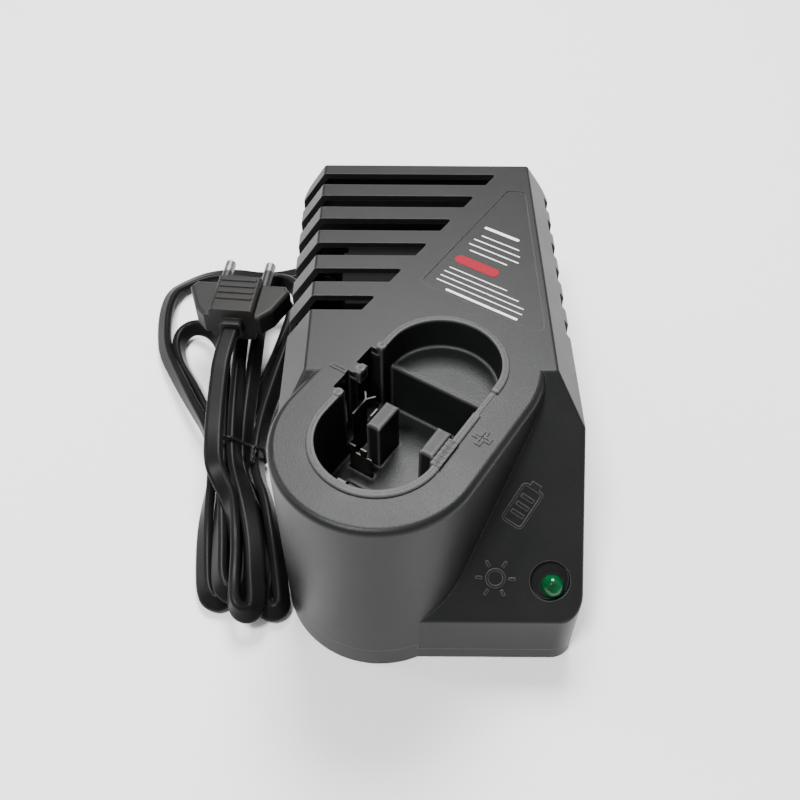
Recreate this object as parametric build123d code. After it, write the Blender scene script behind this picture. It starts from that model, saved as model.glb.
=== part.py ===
"""Battery charger for a power tool: a slanted battery well in a vented case, with a folded mains lead.

Millimetres, +Z up, +Y towards the rear. The origin is the centre of the case's footprint on the floor.
"""

from build123d import *
import math
import os

os.makedirs("parts", exist_ok=True)

# ---------------------------------------------------------------- case
case_width = 106.0
case_length = 186.2
deck_height = 87.2
wall = 2.5
tower_bulge = 2.9
front_height = 27.1
facet_angle = 43.8
chamfer_width = 9.8
chamfer_drop = 14.3
rear_corner = 6.0
front_corner = 8.0
least_corner = 1.0
crease_round = 1.4
tower_radius = 35.3
tower_round = 2.4
parting_height = 6.8
tower_parting = 10.6
foot_stand = 0.6
tray_wall = 2.4
lip_height = 2.0
lip_thickness = 1.2
fit_gap = 0.15

# ---------------------------------------------------------------- battery well
axis_angle = 57.2
well_span = 40.0
well_radius = 20.3
socket_wall = 1.7
hole_gap = 0.15
rim_radius = 22.9
rim_rise = 0.9
rim_round = 0.7
well_depth = 34.0
shelf_depth = 12.6
shelf_start = 38.5
shelf_bead = 1.5
floor_thickness = 2.0
notch_reach = 25.0
notch_starts = (10.5, 24.0)
notch_ends = (19.5, 33.0)
notch_depth = 28.0
knob_radius = 1.7
knob_rise = 0.4
knob_places = (8.8, 21.75, 34.7)
ledge_start = 25.8
ledge_end = 37.6
catch_start = 0.5
catch_end = 12.0
catch_depth = 2.0
catch_ribs = 5
key_width = 3.0
key_depth = 1.2
tab_end = 1.4
tab_length = 9.0
tab_width = 11.0
tab_side = 8.4
tab_gap = 0.9

# ---------------------------------------------------------------- contacts
post_start = 12.6
post_length = 12.4
post_width = 5.3
post_offset = 10.65
post_depth = 13.8
post_chamfer = 0.6
carrier_start = 2.0
carrier_end = 33.0
carrier_half_width = 17.5
carrier_thickness = 4.0
blade_thickness = 0.6
blade_gap = 0.55
blade_bottom_gap = 1.0
blade_foot_gap = 0.2
fork_turn = 38.0
negative_offset = 18.9
negative_start = 12.5
negative_length = 8.0
negative_depth = 12.0
fork_height = 5.0
fork_reach = 3.6
positive_offset = 16.0
positive_depth = 16.0
temperature_offset = 14.6
temperature_start = 17.0
temperature_length = 4.0
temperature_depth = 15.0
coding_along = 7.4
coding_offset = 12.4
coding_width = 9.0
coding_depth = 25.0
coding_tab_width = 2.4
coding_tab_rise = 3.6

# ---------------------------------------------------------------- vents, label and marks
slot_count = 6
slot_pitch = 15.25
slot_width = 7.6
slot_rear = 7.2
slot_end_inset = 23.6
slot_corner = 0.9
slot_bottom = 42.0
side_slot_rise = 3.0
label_depth = 0.4
label_reach = 44.0
label_corner_y = 17.6
label_top = 7.164
label_edge = 2.6
label_round = 3.0
mark_rise = 0.4
mark_line = 0.9
mark_arm = 2.16
plus_along = 18.6
plus_offset = 27.6
plus_size = 6.6
minus_offset = 28.2
icon_battery_inset = 21.5
icon_battery_slope = 40.5
icon_battery_length = 15.0
icon_battery_width = 8.4
icon_nub_length = 1.6
icon_nub_width = 3.6
icon_bars = 3
icon_bar_width = 1.3
icon_bar_pitch = 3.12
icon_lamp_inset = 30.5
icon_lamp_slope = 15.5
icon_lamp_radius = 3.4
icon_ray_start = 4.6
icon_ray_length = 2.2
icon_turn = 57.2

# ---------------------------------------------------------------- status lamp
lamp_inset = 11.7
lamp_slope = 14.6
lamp_recess_radius = 7.0
lamp_recess_depth = 3.2
lamp_shift_x = 1.2
lamp_shift_down = 2.2
lamp_radius = 4.0
lamp_neck = 1.0
lamp_dome = 3.6
lamp_flange_radius = 4.7
lamp_flange_thickness = 1.2
lamp_body_length = 6.4
lamp_gap = 0.1
lamp_seat_radius = 6.4
lamp_seat_height = 2.6

# ---------------------------------------------------------------- tray furniture and fasteners
boss_radius = 4.6
boss_top = 11.0
boss_bite = 0.3
post_top = 26.0
case_screw_radius = 1.5
case_screw_length = 16.0
case_screw_head_radius = 3.1
case_screw_head_height = 2.2
screw_well_radius = 3.6
screw_well_depth = 4.6
screw_gap = 0.15
thread_gap = 0.05
foot_radius = 5.5
foot_thickness = 1.6
foot_inset_x = 21.0
foot_inset_y = 9.0
foot_front_inset = 23.0
foot_tower_offset = 15.0

# ---------------------------------------------------------------- circuit board
board_bottom = 10.0
board_thickness = 1.6
board_reach = 84.2
board_inset = 6.5
standoff_radius = 3.6
board_screw_radius = 1.4
board_screw_length = 8.0
board_screw_head_radius = 2.6
board_screw_head_height = 1.8
board_hole_left = 15.0
board_hole_right = 13.0
board_hole_rear = 8.0
board_hole_nose_x = 4.3
board_hole_nose_y = 12.2
board_hole_front_x = 15.0
board_hole_front_y = 24.2
chip_length = 19.0
chip_width = 6.4
chip_height = 3.4
chip_offset = (15.7, 46.0)
chip_pin_count = 7
chip_pin_pitch = 2.54
chip_pin_drop = 0.9
chip_pin_half = 0.3
chip_pin_rise = 1.2
chip_pin_thickness = 0.4
chip_pin_reach = 1.0
capacitor_radius = 6.4
capacitor_height = 21.0
capacitor_round = 0.8
capacitor_groove = 0.4
capacitor_offset = (35.0, 32.0)
capacitor_pitch = 14.0
capacitor_count = 2
diode_radius = 2.6
diode_length = 9.0
diode_lead_radius = 0.6
diode_lead_reach = 2.0
diode_pitch = 9.0
diode_count = 4
diode_offset = (23.0, 38.0)
diode_rise = 1.2
fuse_radius = 2.6
fuse_length = 20.0
fuse_offset = (47.0, 8.0)
fuse_clip_width = 5.0
fuse_clip_wall = 0.6
sink_length = 26.0
sink_width = 15.0
sink_height = 24.0
sink_base = 3.0
sink_fin = 1.6
sink_fins = 5
sink_fin_reach = 9.0
sink_offset = (13.5, 34.0)
transistor_width = 10.2
transistor_height = 15.6
transistor_thickness = 4.4
transistor_rise = 4.0
transistor_lead_width = 1.0
transistor_lead_half = 0.25
transistor_lead_pitch = 2.54

# ---------------------------------------------------------------- transformer
core_length = 66.0
core_stack = 35.0
core_height = 55.0
core_leg = 11.0
core_centre_leg = 22.0
core_from_rear = 46.1
core_bottom = 10.0
bobbin_gap = 0.3
bobbin_wall = 1.4
winding_gap = 0.3
winding_margin = 1.0
bracket_thickness = 1.5
bracket_ear = 10.0
bracket_width = 24.0
ear_hole_radius = 2.1
ear_screw_radius = 1.9
ear_screw_length = 8.0
ear_screw_head_radius = 3.6
ear_screw_head_height = 2.4
ear_boss_radius = 4.6
pad_width = 4.0

# ---------------------------------------------------------------- mains entry, lead and plug
gland_x = 24.0
gland_height = 14.5
gland_radius = 5.6
gland_flange_radius = 7.6
gland_flange = 2.0
gland_tail = 22.0
gland_tip_radius = 4.2
gland_groove_gap = 0.1
lead_radius = 2.8
clamp_length = 26.0
clamp_width = 7.0
clamp_height = 4.0
clamp_y_gap = 6.5
clamp_boss_radius = 3.4
clamp_screw_spacing = 18.0
clamp_screw_radius = 1.4
clamp_screw_length = 9.0
clamp_screw_head_radius = 2.6
clamp_screw_head_height = 1.8
wire_radius = 1.0
wire_pitch = 2.6
wire_drop = 6.0
output_wire_feet = ((8.7, -5.2), (0.7, 1.8), (3.7, 21.8))
output_wire_heads = ((14.4, 0.2), (-0.7, 10.0), (10.7, 25.8))
output_wire_low = 12.5
output_wire_high = 12.5
lamp_wire_reach = (-5.0, 16.0)
transformer_lead_count = 3
transformer_lead_x = -16.0
mains_wire_rear = (18.6, 23.6, 32.1)
mains_wire_aside = 9.0
mains_wire_side = 7.5
mains_wire_turn = 15.0
mains_wire_foot = 23.0
mains_wire_foot_y = 3.0
mains_wire_turn_y = 10.0
mains_wire_core_y = 7.0

# The hank's outline, counted across from the case's left wall.
hank_outline = (
    (-38.0, -58.0), (-33.5, -73.0), (-24.0, -75.5), (-17.0, -80.5), (-5.5, -79.5), (-1.8, -65.0),
    (-3.5, -30.0), (-9.5, -4.0), (-5.5, 30.0), (-3.5, 70.0), (-10.0, 84.0), (-27.0, 87.0),
    (-37.0, 76.0), (-39.5, 40.0), (-35.5, 2.0), (-37.0, -30.0),
)
hank_height = 23.0
hank_round = 4.0
hank_corner = 5.0
tie_y = -3.0
tie_width = 3.2
tie_thickness = 1.4
tie_left = 36.6
tie_right = 9.2
tie_rise = 0.7

# The stretch from the gland round behind the case, counted from the gland and the rear wall.
lead_behind = (
    (0.0, 37.9, 14.5), (-7.5, 50.4, 12.0), (-20.5, 56.9, 9.2), (-35.5, 55.4, 7.2), (-52.0, 41.9, 5.8),
    (-67.0, 28.4, 5.2),
)
# The stretch beside the case to the hank, counted across from the left wall.
lead_beside = (
    (-8.0, 113.6, 5.2), (-31.0, 110.8, 5.8), (-51.0, 112.0, 6.4), (-67.5, 103.5, 7.0), (-76.5, 87.0, 7.4),
    (-69.5, 63.0, 8.2), (-58.5, 39.0, 9.4), (-46.5, 15.0, 11.4), (-36.0, -6.0, 13.4),
)
# The stretch from the hank up towards the plug, counted across from the left wall.
plug_strand = (
    (-28.5, -30.0, 22.0), (-30.6, -20.0, 25.6), (-32.3, -5.0, 28.2), (-33.3, 12.0, 30.4),
)
plug_straight = 15.0

plug_turn = -5.0
plug_from_wall = 31.5
plug_y = 60.5
plug_rest_gap = 0.3
plug_body_width = 20.0
plug_front = 9.5
plug_rear = 13.0
plug_body_height = 17.4
plug_front_width = 25.0
plug_wing_width = 46.0
plug_tip_y = 9.0
plug_shoulder_width = 35.0
plug_shoulder_y = -4.0
plug_face_width = 41.0
plug_wing_thickness = 10.0
plug_round = 2.0
plug_nose_length = 4.0
plug_nose_width = 10.0
plug_nose_height = 8.0
grip_count = 4
grip_pitch = 4.0
grip_width = 1.6
grip_rise = 0.7
pin_radius = 2.4
pin_length = 19.0
pin_spacing = 19.0
pin_root = 6.0
pin_root_radius = 1.8
pin_collar_radius = 3.0
pin_collar = 1.2
pin_collar_depth = 3.0
pin_gap = 0.02
pin_chamfer = 0.9

# ---------------------------------------------------------------- worked-out places
half_width = case_width / 2
rear_y = case_length / 2
front_y = -case_length / 2 + tower_bulge
tower_x = -half_width + tower_radius
tower_y = -case_length / 2 + tower_radius
deck_half = half_width - chamfer_width
tray_floor = foot_stand + tray_wall
socket_radius = well_radius + socket_wall
rim_top = deck_height + rim_rise
deep_floor = deck_height - well_depth
shelf_height = deck_height - shelf_depth
socket_bottom = deep_floor - floor_thickness
carrier_bottom = socket_bottom - carrier_thickness
blade_bottom = carrier_bottom + blade_bottom_gap
board_top = board_bottom + board_thickness
core_top = core_bottom + core_height
ear_x = core_length / 2 + bracket_thickness + bracket_ear / 2
clamp_y = rear_y - wall - clamp_y_gap
lamp_x = half_width - lamp_inset
core_y = rear_y - core_from_rear
board_rear_y = front_y + board_reach
board_holes = (
    (-half_width + board_hole_left, board_rear_y - board_hole_rear),
    (half_width - board_hole_right, board_rear_y - board_hole_rear),
    (tower_x - board_hole_nose_x, front_y + board_hole_nose_y),
    (half_width - board_hole_front_x, front_y + board_hole_front_y),
)
chip_place = (tower_x + chip_offset[0], board_rear_y - chip_offset[1])
capacitor_places = [
    (half_width - capacitor_offset[0], board_rear_y - capacitor_offset[1] + number * capacitor_pitch)
    for number in range(capacitor_count)
]
diode_place = (-half_width + diode_offset[0], board_rear_y - diode_offset[1])
fuse_place = (half_width - fuse_offset[0], board_rear_y - fuse_offset[1])
sink_place = (half_width - sink_offset[0], board_rear_y - sink_offset[1])
gland_tip_y = rear_y + gland_flange + gland_tail
left_wall = -half_width
plug_x = left_wall - plug_from_wall
plug_height = hank_height + plug_rest_gap + plug_body_height / 2
mains_wire_middle = (core_y - mains_wire_core_y + board_rear_y + mains_wire_turn_y) / 2
mains_wire_bends = (
    (gland_x, rear_y - mains_wire_rear[0], gland_height),
    (gland_x + mains_wire_aside, rear_y - mains_wire_rear[1], 16.0),
    (half_width - mains_wire_aside, rear_y - mains_wire_rear[2], 19.0),
    (half_width - mains_wire_side, core_y - mains_wire_core_y, 19.0),
    (half_width - mains_wire_side - 1, mains_wire_middle, 18.5),
    (half_width - mains_wire_turn, board_rear_y + mains_wire_turn_y, 18.0),
    (half_width - mains_wire_foot, board_rear_y - mains_wire_foot_y, 17.5),
)

well_plane = Plane(
    origin=(tower_x, tower_y, 0),
    x_dir=(math.cos(math.radians(axis_angle)), math.sin(math.radians(axis_angle)), 0),
    z_dir=(0, 0, 1),
)
facet_plane = Plane(
    origin=(0, front_y, front_height),
    x_dir=(1, 0, 0),
    z_dir=(0, -math.sin(math.radians(facet_angle)), math.cos(math.radians(facet_angle))),
)


# ---------------------------------------------------------------- shape helpers
def prism(points, reach):
    """Solid that a flat outline sweeps out along a vector."""
    outline = make_face(Polyline(*points, close=True))
    return extrude(outline, amount=reach.length, dir=reach.normalized())


def block(x0, x1, y0, y1, z0, z1):
    """Box between two corners."""
    middle = ((x0 + x1) / 2, (y0 + y1) / 2, (z0 + z1) / 2)
    return Pos(*middle) * Box(abs(x1 - x0), abs(y1 - y0), abs(z1 - z0))


def rod(x, y, z0, z1, radius):
    """Upright cylinder between two heights."""
    return Pos(x, y, (z0 + z1) / 2) * Cylinder(radius, abs(z1 - z0))


def well_slab(radius, z0, z1):
    """Upright slab with the well's round-ended outline."""
    outline = Pos(well_span / 2, 0) * SlotCenterToCenter(well_span, 2 * radius)
    return extrude(well_plane.offset(z0) * outline, amount=z1 - z0)


def well_block(along0, along1, side0, side1, z0, z1):
    """Box set along the well's axis; the side distance grows to the left."""
    return well_plane * block(along0, along1, side0, side1, z0, z1)


def tube(points, radius):
    """Round tube along straight runs joined by arcs, with the list of bend radii."""
    path_points = [Vector(*point) for point in points]
    radii = []
    for before, corner, after in zip(path_points, path_points[1:], path_points[2:]):
        turn = (corner - before).get_angle(after - corner)
        shorter = min((corner - before).length, (after - corner).length)
        radii.append(0.45 * shorter / math.tan(math.radians(turn) / 2))
    path = FilletPolyline(*path_points, radius=radii)
    start = Plane(origin=path @ 0, z_dir=path % 0)
    body = sweep(start * Circle(radius), path=path)
    drift = body.volume / (math.pi * radius ** 2 * path.length) - 1
    print("tube: length", round(path.length, 1), "volume drift", round(drift, 4))
    print("  bend radii", [round(radius_here, 1) for radius_here in radii])
    return body


# ---------------------------------------------------------------- case forms
def case_plan(inset):
    """Plan of the case without the tower's round nose."""
    left = -half_width + inset
    right = half_width - inset
    front = front_y + inset
    rear = rear_y - inset
    corners = [(left, tower_y), (tower_x, tower_y), (tower_x, front)]
    corners += [(right, front), (right, rear), (left, rear)]
    plan = make_face(Polyline(*corners, close=True))
    rear_corners = plan.vertices().group_by(Axis.Y)[-1]
    plan = fillet(rear_corners, max(rear_corner - inset, least_corner))
    front_right = plan.vertices().sort_by_distance((right, front, 0))[0]
    return fillet(front_right, max(front_corner - inset, least_corner))


def case_section(inset):
    """Slab with the deck and its two chamfers, along Y."""
    top = deck_height - inset
    side = half_width - inset
    across = math.hypot(chamfer_width, chamfer_drop)
    normal_x = chamfer_drop / across
    normal_z = chamfer_width / across
    reach = normal_x * half_width + normal_z * (deck_height - chamfer_drop) - inset
    top_x = (reach - normal_z * top) / normal_x
    side_z = (reach - normal_x * side) / normal_z
    points = [(side, 0), (side, side_z), (top_x, top), (-top_x, top), (-side, side_z), (-side, 0)]
    return prism([(x, -case_length, z) for x, z in points], Vector(0, 2 * case_length, 0))


def case_profile(inset):
    """Slab with the deck and the sloping front facet, along X."""
    top = deck_height - inset
    normal_y = math.sin(math.radians(facet_angle))
    normal_z = math.cos(math.radians(facet_angle))
    front = front_y + inset
    reach = -normal_y * front_y + normal_z * front_height - inset
    front_z = (reach + normal_y * front) / normal_z
    edge_y = (normal_z * top - reach) / normal_y
    rear = rear_y - inset
    points = [(front, 0), (front, front_z), (edge_y, top), (rear, top), (rear, 0)]
    return prism([(-case_width, y, z) for y, z in points], Vector(2 * case_width, 0, 0))


def tower_form(inset, top):
    """The round-nosed tower round the well."""
    return well_slab(tower_radius - inset, 0, top - inset)


def case_form(inset):
    """The whole case as a filled form, with every face moved inwards by the inset."""
    plan = extrude(case_plan(inset), amount=deck_height)
    return plan & case_section(inset) & case_profile(inset)


def outer_form():
    """Filled outer form, with its creases and the tower's top edge rounded."""
    body = case_form(0)
    creases = [edge for edge in body.edges() if is_crease(edge)]
    body = fillet(creases, crease_round)
    tower = tower_form(0, deck_height)
    tower = fillet(tower.edges().group_by(Axis.Z)[-1], tower_round)
    return body + tower


def is_crease(edge):
    """True for an outside edge that is rounded: not on the floor, not where the tower covers it."""
    middle = edge.center()
    hidden = middle.X < tower_x + 1 and middle.Y < tower_y + 1
    on_step = abs(middle.X - tower_x) < 0.01 or abs(middle.Y - tower_y) < 0.01
    return middle.Z > front_height - 1 and not hidden and not on_step


def inner_form(inset):
    """Filled inner form, moved inwards by the inset."""
    return case_form(inset) + tower_form(inset, deck_height)


def below_parting():
    """Space under the parting line, which steps up round the tower's nose."""
    low = block(-case_width, case_width, -case_length, case_length, -1, parting_height)
    step_x = tower_x + math.sqrt(tower_radius ** 2 - (tower_y - front_y) ** 2)
    raised = block(-case_width, step_x, -case_length, tower_y, -1, tower_parting)
    return low + raised


# ---------------------------------------------------------------- cuts and marks of the top cover
def slot_edge_x(y):
    """The slots' right ends lie on one line, parallel to the well's axis."""
    return half_width - slot_end_inset + (y - (rear_y - slot_rear)) / math.tan(math.radians(axis_angle))


def vent_slots():
    """Slanted slots across the deck and down the left wall, with matching slots in the right wall."""
    slots = []
    for number in range(slot_count):
        back = rear_y - slot_rear - number * slot_pitch
        front = back - slot_width
        outline = make_face(Polyline(
            (-case_width, front), (slot_edge_x(front), front), (slot_edge_x(back), back), (-case_width, back),
            close=True,
        ))
        ends = outline.vertices().group_by(Axis.X)
        outline = fillet(ends[-1] + ends[-2], slot_corner)
        slots.append(extrude(Pos(0, 0, slot_bottom) * outline, amount=case_width))
        side_top = deck_height - chamfer_drop + side_slot_rise
        slots.append(block(half_width - chamfer_width, case_width, front, back, slot_bottom, side_top))
    return slots


def label_recess():
    """Shallow four-sided recess with one square corner, beside the slots."""
    along = Vector(math.cos(math.radians(axis_angle)), math.sin(math.radians(axis_angle)))
    across = Vector(along.Y, -along.X)
    right = deck_half - label_edge
    corner = Vector(right - label_reach, label_corner_y)
    tip = corner + along * ((label_reach - label_top) / along.X)
    low = corner + across * ((right - corner.X) / across.X)
    outline = make_face(Polyline(
        (corner.X, corner.Y), (tip.X, tip.Y), (right, tip.Y), (right, low.Y), close=True,
    ))
    outline = fillet(outline.vertices(), label_round)
    return extrude(Pos(0, 0, deck_height - label_depth) * outline, amount=label_depth + 1)


def polarity_marks():
    """Raised outlines of a plus and a minus, beside the well."""
    arm = mark_arm
    wide = Rectangle(plus_size, arm) + Rectangle(arm, plus_size)
    thin = Rectangle(plus_size - 2 * mark_line, arm - 2 * mark_line)
    thin += Rectangle(arm - 2 * mark_line, plus_size - 2 * mark_line)
    plus = Pos(plus_along, -plus_offset) * (wide - thin)
    bar = Rectangle(arm, plus_size) - Rectangle(arm - 2 * mark_line, plus_size - 2 * mark_line)
    minus = Pos(plus_along, minus_offset) * bar
    return extrude(well_plane.offset(deck_height - mark_rise) * (plus + minus), amount=2 * mark_rise)


def facet_icons():
    """Raised line pictures on the facet: a battery with charge bars and a lamp with rays."""
    line = 2 * mark_line
    shell = RectangleRounded(icon_battery_length, icon_battery_width, line)
    shell -= RectangleRounded(icon_battery_length - line, icon_battery_width - line, mark_line)
    shell += Pos((icon_battery_length + icon_nub_length) / 2, 0) * Rectangle(icon_nub_length, icon_nub_width)
    for number in range(icon_bars):
        place = (number - (icon_bars - 1) / 2) * icon_bar_pitch
        shell += Pos(place, 0) * Rectangle(icon_bar_width, icon_battery_width - 2 * line)
    battery = Pos(half_width - icon_battery_inset, icon_battery_slope) * Rot(0, 0, icon_turn) * shell
    lamp = Circle(icon_lamp_radius) - Circle(icon_lamp_radius - mark_line)
    for turn in range(0, 360, 60):
        ray = Pos(icon_ray_start + icon_ray_length / 2, 0) * Rectangle(icon_ray_length, mark_line)
        lamp += Rot(0, 0, turn + icon_turn) * ray
    lamp = Pos(half_width - icon_lamp_inset, icon_lamp_slope) * lamp
    return extrude(facet_plane.offset(-mark_rise) * (battery + lamp), amount=2 * mark_rise)


def lamp_frame():
    """Plane at the bottom of the lamp's recess, centred on the lens."""
    down = lamp_slope - lamp_shift_down
    return facet_plane.offset(-lamp_recess_depth) * Plane(origin=(lamp_x + lamp_shift_x, down, 0))


def screw_places():
    """Centres of the four case screws."""
    inset = wall + boss_radius - boss_bite
    x = half_width - inset
    return (-x, rear_y - inset), (x, rear_y - inset), (x, front_y + inset), (tower_x, inset - case_length / 2)


def gland_slot(radius, bottom):
    """Upright slot with a round top, along Y through the rear wall."""
    hole = Pos(gland_x, rear_y, gland_height) * Rot(90, 0, 0) * Cylinder(radius, 4 * wall)
    low = block(gland_x - radius, gland_x + radius, rear_y - 2 * wall, rear_y + 2 * wall,
                bottom, gland_height)
    return hole + low


def socket_hole():
    """Opening in the deck for the socket, with its two side notches."""
    hole = well_slab(socket_radius + hole_gap, deck_height - wall - 2, deck_height + 2)
    for start, end in zip(notch_starts, notch_ends):
        hole += well_block(start, end, 0, notch_reach, deck_height - wall - 2, deck_height + 2)
    return hole


# ---------------------------------------------------------------- case parts
def top_cover():
    cover = outer_form() - inner_form(wall) - below_parting()
    plane = lamp_frame()
    seat = plane * Pos(0, 0, -lamp_seat_height / 2) * Cylinder(lamp_seat_radius, lamp_seat_height)
    recess_seat = facet_plane * Pos(lamp_x, lamp_slope, -(lamp_recess_depth + wall) / 2)
    recess_seat = recess_seat * Cylinder(lamp_recess_radius + 1, lamp_recess_depth + wall)
    cover += recess_seat & outer_form()
    cover += seat
    recess = facet_plane * Pos(lamp_x, lamp_slope, 0)
    cover -= recess * Cylinder(lamp_recess_radius, 2 * lamp_recess_depth)
    cover -= plane * Cylinder(lamp_radius + lamp_gap, 4 * lamp_seat_height)
    for x, y in screw_places():
        cover += rod(x, y, boss_top, post_top, boss_radius) & inner_form(wall / 2)
        cover -= rod(x, y, boss_top - 1, post_top - wall, case_screw_radius + thread_gap)
    for slot in vent_slots():
        cover -= slot
    cover -= label_recess()
    cover += polarity_marks()
    cover += facet_icons()
    cover -= socket_hole()
    cover -= gland_slot(gland_radius + gland_groove_gap, 0)
    return cover


def base_tray():
    outline = outer_form() & below_parting()
    outline -= block(-case_width, case_width, -case_length, case_length, -1, foot_stand)
    hollow = inner_form(wall) - block(-case_width, case_width, -case_length, case_length, -1, tray_floor)
    tray = outline - hollow
    lip = inner_form(wall + fit_gap) - inner_form(wall + fit_gap + lip_thickness)
    lip &= below_parting().moved(Location((0, 0, lip_height)))
    lip -= block(-case_width, case_width, -case_length, case_length, -1, tray_floor)
    tray += lip
    for x, y in screw_places():
        boss = rod(x, y, foot_stand, boss_top, boss_radius)
        tray += (boss & inner_form(wall / 2) & below_parting()) + (boss & inner_form(wall + fit_gap))
        tray -= rod(x, y, 0, foot_stand + screw_well_depth, screw_well_radius)
        tray -= rod(x, y, 0, boss_top + 1, case_screw_radius + screw_gap)
        tray -= rod(x, y, boss_top, 2 * boss_top, boss_radius + fit_gap)
    for x, y in board_holes:
        tray += rod(x, y, foot_stand, board_bottom, standoff_radius)
        tray -= rod(x, y, tray_floor, board_bottom + 1, board_screw_radius + thread_gap)
    for side in (-1, 1):
        pad_x = side * (core_length / 2 - core_leg)
        tray += block(pad_x - pad_width / 2, pad_x + pad_width / 2, core_y - core_stack / 2,
                      core_y + core_stack / 2, foot_stand, core_bottom)
        tray += rod(side * ear_x, core_y, foot_stand, core_bottom, ear_boss_radius)
        tray -= rod(side * ear_x, core_y, tray_floor - 1, core_bottom + 1, ear_screw_radius + thread_gap)
        clamp_x = gland_x + side * clamp_screw_spacing / 2
        tray += rod(clamp_x, clamp_y, foot_stand, gland_height, clamp_boss_radius)
        tray -= rod(clamp_x, clamp_y, tray_floor, gland_height + 1, clamp_screw_radius + thread_gap)
    for x, y in foot_places():
        tray -= rod(x, y, 0, foot_thickness, foot_radius + fit_gap)
    return tray - gland_slot(gland_radius + gland_groove_gap, parting_height)


def foot_places():
    """Centres of the four rubber feet."""
    x = half_width - foot_inset_x
    return (
        (-x, rear_y - foot_inset_y), (x, rear_y - foot_inset_y),
        (half_width - foot_front_inset, front_y + foot_inset_y), (tower_x - foot_tower_offset, tower_y),
    )


def rubber_feet():
    return Compound([rod(x, y, 0, foot_thickness, foot_radius) for x, y in foot_places()])


def screw(x, y, z, down, length, radius, head_radius, head_height):
    """Pan-head screw whose head seats at z and whose shank runs up (1) or down (-1)."""
    shank = rod(x, y, z, z + down * length, radius)
    head = rod(x, y, z, z - down * head_height, head_radius)
    arm = head_radius / 2
    slot = radius / 4
    cross = block(x - arm, x + arm, y - slot, y + slot, 0, head_height / 2)
    cross += block(x - slot, x + slot, y - arm, y + arm, 0, head_height / 2)
    low = z - down * head_height if down > 0 else z + head_height / 2
    return shank + head - Pos(0, 0, low) * cross


def case_screws():
    seat = foot_stand + screw_well_depth
    return Compound([
        screw(x, y, seat, 1, case_screw_length, case_screw_radius, case_screw_head_radius,
              case_screw_head_height)
        for x, y in screw_places()
    ])


# ---------------------------------------------------------------- battery well
def battery_socket():
    seat = deck_height - wall
    socket = well_slab(socket_radius, socket_bottom, deck_height)
    socket += well_block(
        notch_starts[0] - socket_wall, notch_ends[1] + socket_wall, 0, notch_reach + socket_wall,
        deck_height - notch_depth - floor_thickness, seat,
    )
    rim = well_slab(rim_radius, deck_height, rim_top)
    rim = fillet(rim.edges().group_by(Axis.Z)[-1], rim_round)
    socket += rim
    past = well_span + 2 * socket_radius
    socket -= well_block(
        shelf_start + socket_wall, past, -past, past, socket_bottom - 1, shelf_height - floor_thickness,
    )
    opening = well_slab(well_radius, deep_floor, deck_height + 2)
    opening -= well_block(shelf_start, past, -past, past, deep_floor - 1, shelf_height)
    bead = well_plane * Pos(shelf_start + shelf_bead / 2, 0, shelf_height) * Rot(90, 0, 0)
    opening -= bead * Cylinder(shelf_bead / 2, 2 * past)
    socket -= opening
    reach_low = deck_height - notch_depth
    bridge = deck_height - wall - socket_wall
    socket -= well_block(notch_starts[0], notch_ends[1], 0, notch_reach, reach_low, bridge)
    for start, end in zip(notch_starts, notch_ends):
        socket -= well_block(start, end, 0, rim_radius + notch_reach, reach_low, rim_top + 1)
    for along in knob_places:
        knob = rod(along, (well_radius + rim_radius) / 2, deck_height, rim_top + knob_rise, knob_radius)
        socket += well_plane * knob
    socket -= well_block(ledge_start, ledge_end, -well_radius - 5, -well_radius + 5, deck_height, rim_top + 1)
    pad = well_block(catch_start, catch_end, -rim_radius, -well_radius + catch_depth / 2,
                     seat, rim_top + knob_rise)
    pad -= socket_hole_rest()
    socket += pad
    for number in range(catch_ribs):
        along = catch_start + (number + 0.5) * (catch_end - catch_start) / catch_ribs
        groove = well_block(
            along - mark_line / 2, along + mark_line / 2, -rim_radius - 1, -well_radius + catch_depth,
            rim_top + knob_rise / 2, rim_top + knob_rise + 1,
        )
        socket -= groove
    key = well_block(
        -well_radius - socket_wall / 2, -well_radius + key_depth, -key_width / 2, key_width / 2,
        deep_floor, rim_top - rim_round,
    )
    socket += key
    socket -= floor_tab_gap()
    for side in (-1, 1):
        socket -= well_plane * post_block(side, hole_gap, socket_bottom - 1)
    for hole in blade_holes():
        socket -= hole
    return socket


def floor_tab_gap():
    """Three-sided gap that frees a springy tab in the well's floor."""
    low = socket_bottom - 1
    high = deep_floor + 1
    whole = well_block(tab_end - tab_length, tab_end, tab_side - tab_width / 2,
                       tab_side + tab_width / 2, low, high)
    return whole - well_block(
        tab_end - tab_length - 1, tab_end - tab_gap, tab_side - tab_width / 2 + tab_gap,
        tab_side + tab_width / 2 - tab_gap, low, high,
    )


def socket_hole_rest():
    """The deck's material round the socket, which the catch pad must clear."""
    whole = well_slab(tower_radius, deck_height - wall - 1, deck_height)
    return whole - well_slab(socket_radius, deck_height - wall - 2, deck_height + 2)


def post_block(side, gap, bottom):
    """One of the two posts, in the well's own axes."""
    return block(
        post_start - gap, post_start + post_length + gap,
        side * post_offset - post_width / 2 - gap, side * post_offset + post_width / 2 + gap,
        bottom, deck_height - post_depth + gap,
    )


def blade_holes():
    """Slots that the four sprung blades stand in."""
    gap = blade_gap
    reach = blade_thickness / 2 + gap
    holes = []
    for start, length, side in (
        (negative_start, negative_length, negative_offset),
        (negative_start, negative_length, -positive_offset),
        (temperature_start, temperature_length, temperature_offset),
    ):
        holes.append(well_block(
            start - gap, start + length + gap, side - reach, side + reach, carrier_bottom, deep_floor + 1,
        ))
    holes.append(well_block(
        coding_along - reach, coding_along + reach, coding_offset - coding_width / 2 - gap,
        coding_offset + coding_width / 2 + gap, carrier_bottom, deep_floor + 1,
    ))
    return holes


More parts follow.
